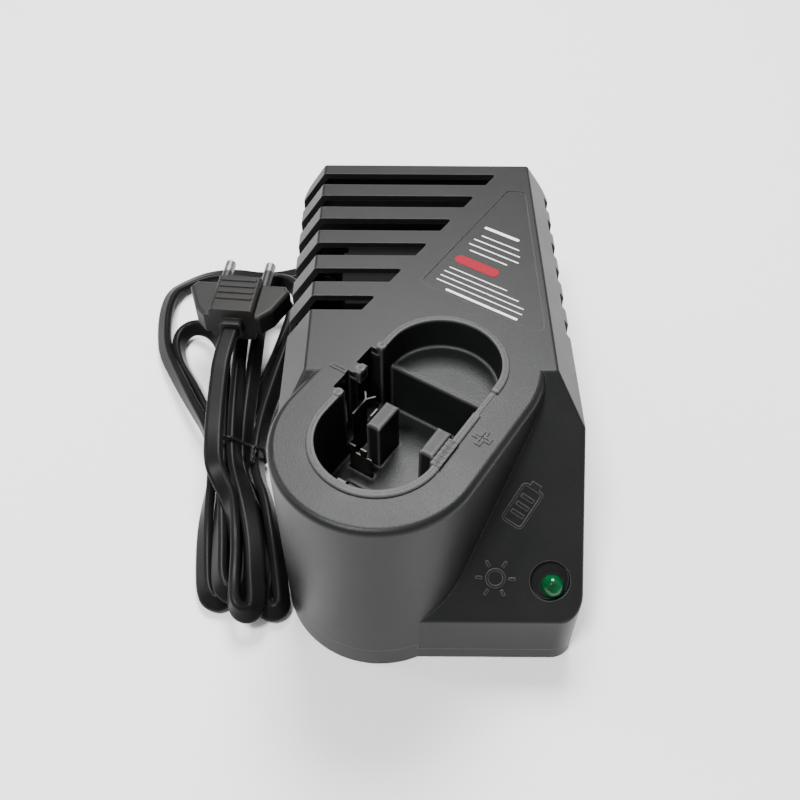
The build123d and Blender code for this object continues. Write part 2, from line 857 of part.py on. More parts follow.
def contact_carrier():
    plate = well_block(
        carrier_start, carrier_end, -carrier_half_width, carrier_half_width + socket_wall,
        carrier_bottom, socket_bottom,
    )
    for hole in blade_holes():
        plate -= hole
    plate += well_block(
        carrier_start, carrier_end, -carrier_half_width, carrier_half_width + socket_wall,
        carrier_bottom, blade_bottom,
    )
    for side in (-1, 1):
        post = post_block(side, 0, carrier_bottom)
        post = chamfer(post.edges().group_by(Axis.Z)[-1], post_chamfer)
        plate += well_plane * post
    return plate


def upright_blade(start, length, side, depth):
    """Flat blade parallel to the well's axis."""
    return well_block(
        start, start + length, side - blade_thickness / 2, side + blade_thickness / 2,
        blade_bottom + blade_foot_gap, deck_height - depth,
    )


def negative_contact():
    blade = upright_blade(negative_start, negative_length, negative_offset, negative_depth)
    top = deck_height - negative_depth
    for turn in (-1, 1):
        tab = Pos(negative_start + negative_length, negative_offset, top - fork_height / 2)
        tab = tab * Rot(0, 0, turn * fork_turn)
        tab = tab * Pos(fork_reach / 2 - blade_thickness / 2, 0, 0)
        blade += well_plane * tab * Box(fork_reach + blade_thickness, blade_thickness, fork_height)
    return blade


def positive_contact():
    return upright_blade(negative_start, negative_length, -positive_offset, positive_depth)


def temperature_contact():
    return upright_blade(temperature_start, temperature_length, temperature_offset, temperature_depth)


def coding_contact():
    low = blade_bottom + blade_foot_gap
    top = deck_height - coding_depth
    near = coding_along - blade_thickness / 2
    far = coding_along + blade_thickness / 2
    left = coding_offset + coding_width / 2
    right = coding_offset - coding_width / 2
    blade = well_block(near, far, right, left, low, top)
    blade += well_block(near, far, left - coding_tab_width, left, top - 1, top + coding_tab_rise)
    middle = coding_offset - coding_tab_width
    blade += well_block(near, far, middle, middle + coding_tab_width, top - 1, top + coding_tab_rise)
    return blade


# ---------------------------------------------------------------- status lamp
def status_lamp():
    plane = lamp_frame()
    lens = Cylinder(lamp_radius, lamp_body_length + lamp_neck, align=(Align.CENTER, Align.CENTER, Align.MIN))
    lens = Pos(0, 0, -lamp_body_length) * lens
    dome = Pos(0, 0, lamp_neck) * Sphere(lamp_radius)
    dome -= Pos(0, 0, -lamp_radius + lamp_neck) * Box(3 * lamp_radius, 3 * lamp_radius, 2 * lamp_radius)
    above = lamp_neck + lamp_dome + lamp_radius
    dome -= Pos(0, 0, above) * Box(3 * lamp_radius, 3 * lamp_radius, 2 * lamp_radius)
    top_face = (Align.CENTER, Align.CENTER, Align.MAX)
    flange = Cylinder(lamp_flange_radius, lamp_flange_thickness, align=top_face)
    flange = Pos(0, 0, -lamp_seat_height) * flange
    return plane * (lens + dome + flange)


def lamp_base():
    """Point in the middle of the lamp's back face."""
    return lamp_frame() * Pos(0, 0, -lamp_body_length)


# ---------------------------------------------------------------- circuit board
def board_outline(inset):
    plan = case_plan(inset) + (Pos(tower_x, tower_y) * Circle(tower_radius - inset))
    window = Pos(0, (board_rear_y - case_length) / 2) * Rectangle(case_width, board_rear_y + case_length)
    return plan & window


def circuit_board():
    outline = board_outline(board_inset)
    board = extrude(Pos(0, 0, board_bottom) * outline, amount=board_thickness)
    for x, y in screw_places():
        board -= rod(x, y, 0, 2 * board_top, boss_radius + 1)
    for x, y in board_holes:
        board -= rod(x, y, 0, 2 * board_top, board_screw_radius + screw_gap)
    return board


def board_screws():
    return Compound([
        screw(x, y, board_top, -1, board_screw_length, board_screw_radius, board_screw_head_radius,
              board_screw_head_height)
        for x, y in board_holes
    ])


def control_chip():
    x, y = chip_place
    bottom = board_top + chip_pin_drop
    chip = block(x - chip_length / 2, x + chip_length / 2, y - chip_width / 2, y + chip_width / 2,
                 bottom, bottom + chip_height)
    for number in range(chip_pin_count):
        pin_x = x + (number - (chip_pin_count - 1) / 2) * chip_pin_pitch
        for side in (-1, 1):
            outer = y + side * (chip_width / 2 + chip_pin_reach)
            low = bottom + chip_pin_rise
            high = low + chip_pin_thickness
            left = pin_x - chip_pin_half
            right = pin_x + chip_pin_half
            chip += block(left, right, y + side * chip_width / 3, outer, low, high)
            chip += block(left, right, outer - side * chip_pin_thickness, outer, board_top, high)
    return chip


def filter_capacitors():
    cans = []
    for x, y in capacitor_places:
        can = rod(x, y, board_top, board_top + capacitor_height, capacitor_radius)
        can = fillet(can.edges().group_by(Axis.Z)[-1], capacitor_round)
        can -= block(x - capacitor_radius / 2, x + capacitor_radius / 2, y - capacitor_groove / 2,
                     y + capacitor_groove / 2, board_top + capacitor_height - capacitor_groove,
                     board_top + capacitor_height + 1)
        cans.append(can)
    return Compound(cans)


def rectifier_diodes():
    diodes = []
    for number in range(diode_count):
        x = diode_place[0]
        y = diode_place[1] + number * diode_pitch
        height = board_top + diode_rise + diode_radius
        diode = Pos(x, y, height) * Rot(0, 90, 0) * Cylinder(diode_radius, diode_length)
        lead_length = diode_length + 2 * diode_lead_reach
        diode += Pos(x, y, height) * Rot(0, 90, 0) * Cylinder(diode_lead_radius, lead_length)
        for side in (-1, 1):
            end = x + side * (diode_length / 2 + diode_lead_reach)
            diode += block(end - diode_lead_radius, end + diode_lead_radius, y - diode_lead_radius,
                           y + diode_lead_radius, board_top, height + diode_lead_radius)
        diodes.append(diode)
    return Compound(diodes)


def fuse():
    x, y = fuse_place
    height = board_top + fuse_clip_width / 2 + fuse_radius
    body = Pos(x, y, height) * Rot(0, 90, 0) * Cylinder(fuse_radius, fuse_length)
    for side in (-1, 1):
        end = x + side * (fuse_length - fuse_clip_width) / 2
        body += block(end - fuse_clip_width / 2, end + fuse_clip_width / 2, y - fuse_radius - fuse_clip_wall,
                      y + fuse_radius + fuse_clip_wall, board_top, height)
    return body


def heat_sink():
    x, y = sink_place
    left = x - sink_width / 2
    sink = block(left, left + sink_base, y - sink_length / 2, y + sink_length / 2, board_top,
                 board_top + sink_height)
    for number in range(sink_fins):
        fin_y = y - sink_length / 2 + sink_fin / 2 + number * (sink_length - sink_fin) / (sink_fins - 1)
        sink += block(left, left + sink_fin_reach, fin_y - sink_fin / 2, fin_y + sink_fin / 2, board_top,
                      board_top + sink_height)
    return sink


def power_transistor():
    x, y = sink_place
    face = x - sink_width / 2
    low = board_top + transistor_rise
    body = block(face - transistor_thickness, face, y - transistor_width / 2, y + transistor_width / 2, low,
                 low + transistor_height)
    for number in (-1, 0, 1):
        lead_y = y + number * transistor_lead_pitch
        middle = face - transistor_thickness / 2
        body += block(middle - transistor_lead_half, middle + transistor_lead_half,
                      lead_y - transistor_lead_width / 2, lead_y + transistor_lead_width / 2, board_top, low)
    return body


# ---------------------------------------------------------------- transformer
def transformer_core():
    core = block(-core_length / 2, core_length / 2, -core_stack / 2, core_stack / 2, core_bottom, core_top)
    window_width = (core_length - core_centre_leg - 2 * core_leg) / 2
    for side in (-1, 1):
        inner = side * core_centre_leg / 2
        core -= block(inner, inner + side * window_width, -core_stack, core_stack, core_bottom + core_leg,
                      core_top - core_leg)
    return Pos(0, core_y, 0) * core


def transformer_bobbin():
    low = core_bottom + core_leg + bobbin_gap
    high = core_top - core_leg - bobbin_gap
    inner_x = core_centre_leg / 2 + bobbin_gap
    inner_y = core_stack / 2 + bobbin_gap
    outer_x = core_length / 2 - core_leg - bobbin_gap
    outer_y = core_stack / 2 + outer_x - core_centre_leg / 2
    bobbin = block(-outer_x, outer_x, -outer_y, outer_y, low, high)
    channel = block(-outer_x - 1, outer_x + 1, -outer_y - 1, outer_y + 1,
                    low + bobbin_wall, high - bobbin_wall)
    channel -= block(-inner_x - bobbin_wall, inner_x + bobbin_wall, -inner_y - bobbin_wall,
                     inner_y + bobbin_wall, low, high)
    bobbin -= channel
    bobbin -= block(-inner_x, inner_x, -inner_y, inner_y, low - 1, high + 1)
    return Pos(0, core_y, 0) * bobbin


def transformer_winding():
    low = core_bottom + core_leg + bobbin_gap + bobbin_wall + winding_gap
    high = core_top - core_leg - bobbin_gap - bobbin_wall - winding_gap
    inner_x = core_centre_leg / 2 + bobbin_gap + bobbin_wall + winding_gap
    inner_y = core_stack / 2 + bobbin_gap + bobbin_wall + winding_gap
    outer_x = core_length / 2 - core_leg - bobbin_gap - winding_margin
    outer_y = core_stack / 2 + outer_x - core_centre_leg / 2
    winding = block(-outer_x, outer_x, -outer_y, outer_y, low, high)
    winding = fillet(winding.edges().filter_by(Axis.Z), winding_margin * 2)
    winding -= block(-inner_x, inner_x, -inner_y, inner_y, low - 1, high + 1)
    return Pos(0, core_y, 0) * winding


def transformer_bracket():
    side = core_length / 2
    outer = side + bracket_thickness
    top = core_top + bracket_thickness
    strap = block(-outer, outer, -bracket_width / 2, bracket_width / 2, core_bottom, top)
    strap -= block(-side, side, -bracket_width, bracket_width, core_bottom - 1, core_top)
    for turn in (-1, 1):
        ear = block(turn * side, turn * (outer + bracket_ear), -bracket_width / 2, bracket_width / 2,
                    core_bottom, core_bottom + bracket_thickness)
        strap += ear
        strap -= rod(turn * ear_x, 0, core_bottom - 1, core_bottom + 2 * bracket_thickness, ear_hole_radius)
    return Pos(0, core_y, 0) * strap


def transformer_screws():
    return Compound([
        screw(side * ear_x, core_y, core_bottom + bracket_thickness, -1, ear_screw_length, ear_screw_radius,
              ear_screw_head_radius, ear_screw_head_height)
        for side in (-1, 1)
    ])


# ---------------------------------------------------------------- mains entry
def cord_gland():
    inside = rear_y - wall - gland_flange
    body = Pos(gland_x, rear_y - wall / 2, gland_height) * Rot(90, 0, 0) * Cylinder(gland_radius, wall + 2)
    neck = block(gland_x - gland_radius, gland_x + gland_radius, rear_y - wall, rear_y,
                 parting_height, gland_height)
    body += neck
    for y in (inside, rear_y):
        flange = Pos(gland_x, y + gland_flange / 2, gland_height) * Rot(90, 0, 0)
        body += flange * Cylinder(gland_flange_radius, gland_flange)
    tail_start = rear_y + gland_flange
    tail = Pos(gland_x, tail_start + gland_tail / 2, gland_height) * Rot(-90, 0, 0)
    body += tail * Cone(gland_radius, gland_tip_radius, gland_tail)
    return body


def cord_clamp():
    bar = block(gland_x - clamp_length / 2, gland_x + clamp_length / 2, clamp_y - clamp_width / 2,
                clamp_y + clamp_width / 2, gland_height, gland_height + clamp_height)
    for side in (-1, 1):
        screw_x = gland_x + side * clamp_screw_spacing / 2
        bar -= rod(screw_x, clamp_y, 0, case_width, clamp_screw_radius + screw_gap)
    bar -= Pos(gland_x, clamp_y, gland_height) * Rot(90, 0, 0) * Cylinder(lead_radius, 2 * clamp_width)
    return bar


def clamp_screws():
    return Compound([
        screw(gland_x + side * clamp_screw_spacing / 2, clamp_y, gland_height + clamp_height, -1,
              clamp_screw_length, clamp_screw_radius, clamp_screw_head_radius, clamp_screw_head_height)
        for side in (-1, 1)
    ])


def lead_end():
    """The lead inside the case, from the gland to just past the clamp."""
    start = rear_y - wall - gland_flange
    length = start - (clamp_y - clamp_width / 2 - 1)
    middle = Pos(gland_x, start - length / 2, gland_height)
    return middle * Rot(90, 0, 0) * Cylinder(lead_radius - thread_gap, length)


def output_wires():
    """Leads from the board up to the contacts' carrier."""
    wires = []
    low = board_top + output_wire_low
    high = carrier_bottom - output_wire_high
    for foot, head in zip(output_wire_feet, output_wire_heads):
        foot = (tower_x + foot[0], tower_y + foot[1])
        head = (tower_x + head[0], tower_y + head[1])
        route = ((*foot, board_top), (*foot, low), (*head, high), (*head, carrier_bottom))
        wires.append(tube(route, wire_radius))
    return Compound(wires)


def lamp_wires():
    """Leads from the lamp's back down to the board."""
    wires = []
    back = lamp_base()
    for side in (-1, 1):
        start = (back * Pos(side * wire_pitch / 2, 0, 0)).position
        next_one = (back * Pos(side * wire_pitch / 2, 0, -lamp_body_length)).position
        foot = (start.X + lamp_wire_reach[0], start.Y + lamp_wire_reach[1])
        high = (*foot, (next_one.Z + board_top) / 2)
        wires.append(tube((tuple(start), tuple(next_one), high, (*foot, board_top)), wire_radius))
    return Compound(wires)


def transformer_leads():
    """Leads from the bobbin's front down to the board."""
    bobbin_front = core_y - core_stack / 2 - core_length / 2 + core_leg + bobbin_gap + core_centre_leg / 2
    start_z = core_bottom + core_leg + 2 * wire_radius
    wires = []
    for number in range(transformer_lead_count):
        x = transformer_lead_x + number * wire_pitch * 1.5
        end_y = board_rear_y - 2 * wire_radius
        bend_y = bobbin_front - (bobbin_front - end_y) * 0.35
        wires.append(tube((
            (x, bobbin_front, start_z), (x, bend_y, start_z), (x, end_y, board_top + wire_drop),
            (x, end_y, board_top),
        ), wire_radius))
    return Compound(wires)


def mains_wires():
    """The lead's two cores, from its end past the transformer to the board."""
    start_y = clamp_y - clamp_width / 2 - 1
    wires = []
    for side in (-1, 1):
        shift = side * wire_pitch / 2
        points = [(gland_x + shift, start_y, gland_height)]
        points += [(x + shift, y, z) for x, y, z in mains_wire_bends]
        points.append((points[-1][0], points[-1][1], board_top))
        wires.append(tube(points, wire_radius))
    return Compound(wires)


# ---------------------------------------------------------------- lead, hank, tie and plug
def mains_lead():
    """From the gland's tip round behind the case and along its side to the hank."""
    route = [(gland_x, gland_tip_y, gland_height)]
    route += [(gland_x + x, rear_y + y, z) for x, y, z in lead_behind]
    route += [(left_wall + x, y, z) for x, y, z in lead_beside]
    return tube(route, lead_radius)


def plug_lead():
    """From the hank up to the plug's nose, which it meets square."""
    route = [(left_wall + x, y, z) for x, y, z in plug_strand]
    for behind in (plug_straight, 0):
        end = plug_place() * Pos(0, -plug_front - plug_nose_length - behind, 0)
        route.append(tuple(end.position))
    return tube(route, lead_radius)


def lead_hank():
    outline = make_face(Polyline(*[(left_wall + x, y) for x, y in hank_outline], close=True))
    outline = fillet(outline.vertices(), hank_corner)
    hank = extrude(outline, amount=hank_height)
    return fillet(hank.edges().group_by(Axis.Z)[-1], hank_round)


def hank_tie():
    top = hank_height + tie_rise
    left = left_wall - tie_left
    right = left_wall - tie_right
    tie = block(left, right, tie_y - tie_width / 2, tie_y + tie_width / 2, 0, top)
    tie -= block(left + tie_thickness, right - tie_thickness, tie_y - tie_width, tie_y + tie_width,
                 tie_thickness, top - tie_thickness)
    return tie


def plug_place():
    """Where the plug lies: on top of the hank, its pins pointing to the rear."""
    return Pos(plug_x, plug_y, plug_height) * Rot(0, 0, plug_turn)


def plug_body():
    right_side = (
        (plug_face_width / 2, plug_rear), (plug_wing_width / 2, plug_tip_y),
        (plug_shoulder_width / 2, plug_shoulder_y), (plug_front_width / 2, -plug_front),
    )
    left_side = [(-x, y) for x, y in reversed(right_side)]
    outline = make_face(Polyline(*right_side, *left_side, close=True))
    wings = extrude(Pos(0, 0, -plug_wing_thickness / 2) * outline, amount=plug_wing_thickness)
    wings = fillet(wings.edges().group_by(Axis.Z)[-1], plug_round)
    half = plug_body_width / 2
    core = block(-half, half, -plug_front, plug_rear, -plug_body_height / 2, plug_body_height / 2)
    core = fillet(core.edges().filter_by(Axis.Y), plug_round)
    body = wings + core
    for number in range(grip_count):
        y = plug_rear - plug_round - number * grip_pitch
        width = half - plug_round
        body += block(-width, width, y - grip_width, y, plug_body_height / 2 - 1,
                      plug_body_height / 2 + grip_rise)
    nose = block(-plug_nose_width / 2, plug_nose_width / 2, -plug_front - plug_nose_length, -plug_front,
                 -plug_nose_height / 2, plug_nose_height / 2)
    body += fillet(nose.edges().filter_by(Axis.Y), plug_round)
    for side in (-1, 1):
        body -= pin_place(side) * pin_anchor(pin_gap)
    return plug_place() * body


def pin_place(side):
    """A pin's axis, out of the plug's face."""
    return Pos(side * pin_spacing / 2, plug_rear, 0) * Rot(-90, 0, 0)


def pin_anchor(gap):
    """The part of a pin inside the moulding: a thinner root with a collar that keeps it in."""
    root = rod(0, 0, -pin_root - gap, 0, pin_root_radius + gap)
    low = -pin_collar_depth - pin_collar
    return root + rod(0, 0, low - gap, low + pin_collar + gap, pin_collar_radius + gap)


def plug_pins():
    pins = []
    for side in (-1, 1):
        pin = rod(0, 0, 0, pin_length, pin_radius)
        pin = chamfer(pin.edges().group_by(Axis.Z)[-1], pin_chamfer)
        pins.append(plug_place() * pin_place(side) * (pin + pin_anchor(0)))
    return Compound(pins)


# ---------------------------------------------------------------- write every part
parts = {
    "top_cover": top_cover,
    "base_tray": base_tray,
    "rubber_feet": rubber_feet,
    "case_screws": case_screws,
    "battery_socket": battery_socket,
    "contact_carrier": contact_carrier,
    "negative_contact": negative_contact,
    "positive_contact": positive_contact,
    "temperature_contact": temperature_contact,
    "coding_contact": coding_contact,
    "status_lamp": status_lamp,
    "circuit_board": circuit_board,
    "board_screws": board_screws,
    "control_chip": control_chip,
    "filter_capacitors": filter_capacitors,
    "rectifier_diodes": rectifier_diodes,
    "fuse": fuse,
    "heat_sink": heat_sink,
    "power_transistor": power_transistor,
    "transformer_core": transformer_core,
    "transformer_bobbin": transformer_bobbin,
    "transformer_winding": transformer_winding,
    "transformer_bracket": transformer_bracket,
    "transformer_screws": transformer_screws,
    "cord_gland": cord_gland,
    "cord_clamp": cord_clamp,
    "clamp_screws": clamp_screws,
    "lead_end": lead_end,
    "output_wires": output_wires,
    "lamp_wires": lamp_wires,
    "transformer_leads": transformer_leads,
    "mains_wires": mains_wires,
    "mains_lead": mains_lead,
    "plug_lead": plug_lead,
    "lead_hank": lead_hank,
    "hank_tie": hank_tie,
    "plug_body": plug_body,
    "plug_pins": plug_pins,
}

for name, make in parts.items():
    export_step(make(), "parts/" + name + ".step")
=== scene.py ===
import math

import bpy
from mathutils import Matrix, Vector


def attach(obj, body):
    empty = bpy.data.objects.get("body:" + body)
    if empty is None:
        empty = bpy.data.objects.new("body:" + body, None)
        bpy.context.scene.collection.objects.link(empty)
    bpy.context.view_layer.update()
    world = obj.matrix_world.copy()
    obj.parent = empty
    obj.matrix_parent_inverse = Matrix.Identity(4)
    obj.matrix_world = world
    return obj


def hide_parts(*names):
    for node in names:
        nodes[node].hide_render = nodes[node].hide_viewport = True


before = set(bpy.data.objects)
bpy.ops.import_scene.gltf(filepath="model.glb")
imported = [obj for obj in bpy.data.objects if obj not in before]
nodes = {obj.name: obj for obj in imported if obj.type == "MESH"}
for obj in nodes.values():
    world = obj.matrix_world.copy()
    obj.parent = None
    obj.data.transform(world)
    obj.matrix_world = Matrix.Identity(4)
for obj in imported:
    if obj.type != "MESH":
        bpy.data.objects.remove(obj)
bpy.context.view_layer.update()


# ---------------------------------------------------------------- camera, table top and light
# The charger stands on a plain white table top. A large soft lamp hangs high behind it, a smaller one stands to
# its left, one hangs high over its front, and the camera looks down on that front.
camera = bpy.data.objects.new("camera", bpy.data.cameras.new("camera"))
bpy.context.scene.collection.objects.link(camera)
camera.location = (-0.01045, -0.23501, 0.30867)
camera.rotation_euler = [math.radians(turn) for turn in (41.187, -0.220, 0.304)]
camera.data.lens = 40.17
camera.data.sensor_width = 36.0
camera.data.clip_start = 0.01
bpy.context.scene.camera = camera

bpy.ops.object.select_all(action="DESELECT")
bpy.ops.mesh.primitive_grid_add(x_subdivisions=8, y_subdivisions=8, size=6.0, location=(0, 0, 0))
table_top = bpy.context.object
table_top.name = "table_top"
table_white = bpy.data.materials.new("table_white")
table_white.use_nodes = True
table_shader = table_white.node_tree.nodes["Principled BSDF"]
table_shader.inputs["Base Color"].default_value = (0.93, 0.93, 0.93, 1)
table_shader.inputs["Roughness"].default_value = 0.9
table_top.data.materials.append(table_white)

room = bpy.data.worlds.new("room")
room.use_nodes = True
daylight = room.node_tree.nodes["Background"]
daylight.inputs["Color"].default_value = (1.0, 1.0, 1.0, 1)
daylight.inputs["Strength"].default_value = 0.4
bpy.context.scene.world = room

for lamp_name, place, power, width in (
    ("rear_lamp", (0.03, 0.72, 1.36), 42.0, 0.6),
    ("left_lamp", (-1.30, 0.25, 0.85), 6.0, 0.4),
    ("front_lamp", (-0.40, -0.50, 1.45), 30.0, 0.3),
):
    lamp = bpy.data.objects.new(lamp_name, bpy.data.lights.new(lamp_name, "AREA"))
    bpy.context.scene.collection.objects.link(lamp)
    lamp.data.energy = power
    lamp.data.size = width
    lamp.location = place
    lamp.rotation_euler = (-Vector(place)).to_track_quat("-Z", "Y").to_euler()


# ---------------------------------------------------------------- mains lead
# One flat twin-core lead in soft black vinyl, 7.6 mm wide and 3.9 mm thick. It leaves the gland, goes round
# behind the case, is folded into a hank beside it, and ends in the plug that lies on the hank.
class Value:
    """A socket in a material's nodes, so that maths on it can be written as sums."""

    def __init__(self, finish, socket):
        self.finish = finish
        self.socket = socket

    def maths(self, operation, first, second):
        return self.finish.node("ShaderNodeMath", {"operation": operation}, {0: first, 1: second})

    def __add__(self, other):
        return self.maths("ADD", self, other)

    def __radd__(self, other):
        return self.maths("ADD", other, self)

    def __sub__(self, other):
        return self.maths("SUBTRACT", self, other)

    def __rsub__(self, other):
        return self.maths("SUBTRACT", other, self)

    def __mul__(self, other):
        return self.maths("MULTIPLY", self, other)

    def __rmul__(self, other):
        return self.maths("MULTIPLY", other, self)


class Finish:
    """A material being made up, one node at a time."""

    def __init__(self, name):
        self.material = bpy.data.materials.new(name)
        self.material.use_nodes = True
        self.tree = self.material.node_tree
        self.shader = self.tree.nodes["Principled BSDF"]
        self.place = self.node("ShaderNodeTexCoord", output="Object")

    def node(self, kind, settings=None, sockets=None, output=0):
        made = self.tree.nodes.new(kind)
        for key, value in (settings or {}).items():
            if key == "stops":
                ramp = made.color_ramp
                for stop, (position, colour) in zip((ramp.elements[0], ramp.elements[1]), value):
                    stop.position = position
                    stop.color = colour
            else:
                setattr(made, key, value)
        for key, value in (sockets or {}).items():
            self.feed(made.inputs[key], value)
        return Value(self, made.outputs[output])

    def feed(self, socket, value):
        if isinstance(value, Value):
            self.tree.links.new(value.socket, socket)
        else:
            socket.default_value = value

    def noise(self, scale, detail=2.0, roughness=0.5):
        return self.node("ShaderNodeTexNoise", None, {
            "Vector": self.place, "Scale": scale, "Detail": detail, "Roughness": roughness,
        })

    def ramp(self, factor, low, high, dark, light):
        stops = [(low, (*dark, 1)), (high, (*light, 1))]
        return self.node("ShaderNodeValToRGB", {"stops": stops}, {"Fac": factor})

    def bump(self, height, strength, depth, rounding=0.0003):
        """A bump of some depth, on faces whose edges are rounded off."""
        rounded = self.node("ShaderNodeBevel", {"samples": 4}, {"Radius": rounding})
        return self.node("ShaderNodeBump", None, {
            "Height": height, "Strength": strength, "Distance": depth, "Normal": rounded,
        })

    def edges(self, reach):
        """Nought on flat faces, rising towards one along edges."""
        rounded = self.node("ShaderNodeBevel", {"samples": 4}, {"Radius": reach})
        facing = self.node("ShaderNodeNewGeometry", output="Normal")
        likeness = self.node("ShaderNodeVectorMath", {"operation": "DOT_PRODUCT"}, {0: rounded, 1: facing}, "Value")
        return 1.0 - likeness

    def mix(self, factor, first, second):
        """Two colours mixed."""
        return self.node("ShaderNodeMix", {"data_type": "RGBA"}, {0: factor, 6: first, 7: second}, 2)

    def give(self, **sockets):
        for name, value in sockets.items():
            self.feed(self.shader.inputs[name.replace("_", " ")], value)
        return self.material


# Each point is x, y, z in millimetres and the turn of the flat side from level, in degrees.
lead_points = (
    # from the gland round behind the case, and out to the left in a wide loop
    (24.0, 117.1, 14.5, 0), (24.0, 131.0, 14.5, 0), (16.5, 143.0, 12.0, 0), (3.5, 148.5, 8.6, 0),
    (-11.5, 147.0, 5.6, 0), (-28.0, 136.0, 3.6, 0), (-66.5, 117.0, 2.6, 0), (-82.5, 115.0, 2.8, -8),
    (-96.0, 118.0, 3.0, -12), (-109.5, 116.0, 3.4, -20), (-119.8, 108.5, 3.8, -26), (-125.8, 102.5, 4.1, -32),
    (-127.0, 90.0, 4.3, -38), (-125.3, 75.0, 4.5, -42), (-121.8, 59.5, 5.4, -46), (-114.0, 44.0, 8.0, -56),
    (-104.0, 25.5, 10.2, -70),
    # into the hank, and its first front fold, nearest the edge
    (-91.3, 4.0, 12.0, -84), (-88.8, -9.0, 12.0, -90), (-87.6, -20.5, 10.4, -80), (-88.5, -30.5, 7.2, -60),
    (-88.3, -40.5, 5.0, -46), (-86.8, -53.5, 4.3, -42), (-84.5, -67.0, 4.3, -42), (-81.0, -70.5, 4.2, -42),
    (-77.5, -70.5, 4.1, -38), (-75.4, -66.5, 3.9, -28), (-76.6, -54.5, 4.0, -34), (-78.9, -40.0, 4.0, -37),
    (-81.6, -24.5, 4.2, -54), (-84.8, -15.0, 4.3, -82), (-87.4, -3.0, 4.2, -90),
    # out again in a smaller loop, and back in under the plug
    (-91.4, 10.0, 4.2, -90), (-98.4, 26.5, 4.2, -84), (-106.0, 40.5, 4.2, -76), (-113.8, 53.5, 4.4, -70),
    (-117.6, 68.5, 4.8, -66), (-111.5, 76.5, 6.2, -64), (-100.0, 70.5, 9.0, -64), (-91.5, 52.0, 12.0, -72),
    (-88.8, 36.0, 12.6, -82), (-86.8, 16.0, 12.4, -88),
    # second front fold
    (-84.8, -3.0, 12.4, -90), (-83.6, -14.0, 12.0, -88), (-82.8, -24.0, 11.6, -78), (-82.0, -36.0, 10.4, -62),
    (-80.5, -48.5, 9.9, -52), (-78.5, -65.5, 10.2, -50), (-75.5, -69.5, 9.7, -44), (-71.5, -69.5, 7.4, -32),
    (-68.6, -65.5, 4.6, -28), (-69.7, -51.5, 4.0, -34), (-72.1, -37.5, 4.0, -38), (-76.2, -24.5, 4.2, -60),
    (-80.2, -15.0, 4.4, -78), (-82.6, -3.0, 4.4, -72),
    # lower rear fold beside the case
    (-81.0, 14.0, 4.4, -62), (-75.6, 32.0, 3.6, -30), (-70.0, 50.0, 3.8, -36), (-66.0, 66.0, 5.8, -56),
    (-63.6, 82.0, 9.6, -96), (-66.8, 88.0, 10.8, -98), (-73.2, 88.0, 11.6, -98), (-76.8, 82.0, 12.2, -98),
    (-77.4, 68.0, 12.4, -108), (-77.6, 52.0, 11.8, -122), (-77.4, 32.0, 10.6, -126), (-77.4, 14.0, 9.4, -122),
    (-77.4, -3.0, 5.6, -110), (-75.2, -14.0, 4.8, -98), (-70.8, -23.0, 4.2, -84), (-66.3, -33.0, 3.7, -40),
    (-63.3, -46.5, 2.5, -4), (-62.1, -60.0, 2.5, -4),
    # front fold against the case
    (-62.4, -67.0, 3.4, -20), (-61.6, -72.6, 4.6, -42), (-58.0, -75.4, 5.0, -50), (-54.2, -73.4, 5.2, -56),
    (-55.5, -66.0, 5.5, -58), (-57.4, -55.5, 7.0, -58), (-60.6, -41.5, 9.4, -62), (-64.6, -26.5, 9.4, -70),
    (-69.0, -16.0, 7.8, -68), (-71.8, -3.0, 5.4, -64),
    # upper rear fold, then down across the hank
    (-70.6, 14.0, 8.4, -62), (-66.6, 32.0, 12.2, -56), (-62.6, 50.0, 15.4, -60), (-60.2, 66.0, 17.8, -88),
    (-58.9, 86.0, 19.0, -112), (-65.5, 94.5, 19.2, -116), (-75.5, 94.5, 19.2, -116), (-82.2, 86.0, 18.8, -112),
    (-83.6, 68.0, 18.2, -108), (-83.8, 52.0, 17.4, -112), (-82.8, 34.0, 16.4, -116), (-81.6, 14.0, 15.6, -116),
    (-80.4, -3.0, 14.2, -114), (-78.8, -12.0, 13.6, -118), (-76.4, -19.0, 14.0, -134), (-72.4, -29.0, 14.8, -150),
    (-68.8, -40.5, 15.0, -161), (-66.0, -52.0, 14.4, -163), (-64.6, -63.5, 13.2, -157),
    # last front fold, then out over the tie and up to the plug
    (-63.0, -75.5, 11.2, -138), (-65.0, -79.0, 10.8, -122), (-68.8, -79.0, 12.0, -114), (-71.4, -75.5, 13.8, -106),
    (-72.0, -67.0, 15.2, -102), (-72.8, -57.0, 14.4, -100), (-74.2, -48.0, 13.6, -104), (-76.0, -38.5, 15.0, -118),
    (-78.2, -31.0, 17.2, -136), (-82.0, -25.0, 20.0, -156), (-85.5, -18.5, 23.0, -172), (-86.6, -7.0, 24.8, -180),
    (-87.4, 4.0, 26.2, -180), (-87.6, 17.0, 28.8, -180), (-87.6, 32.1, 32.0, -180), (-85.68, 47.05, 32.0, -180),
)


def drawn_line(name, points):
    """Points read along the smooth spline that has these control points."""
    curve = bpy.data.curves.new(name, "CURVE")
    curve.dimensions = "3D"
    curve.resolution_u = 10
    spline = curve.splines.new("NURBS")
    spline.points.add(len(points) - 1)
    for made, point in zip(spline.points, points):
        made.co = (*point, 1)
    spline.order_u = 3
    spline.use_endpoint_u = True
    holder = bpy.data.objects.new(name, curve)
    bpy.context.scene.collection.objects.link(holder)
    bpy.context.view_layer.update()
    flat = bpy.data.meshes.new_from_object(holder)
    line = [vertex.co.copy() for vertex in flat.vertices]
    bpy.data.objects.remove(holder)
    return line


lead_width = 0.0076
lead_thickness = 0.0039
lead_line = drawn_line("lead_line", [(x / 1000, y / 1000, z / 1000) for x, y, z, turn in lead_points])
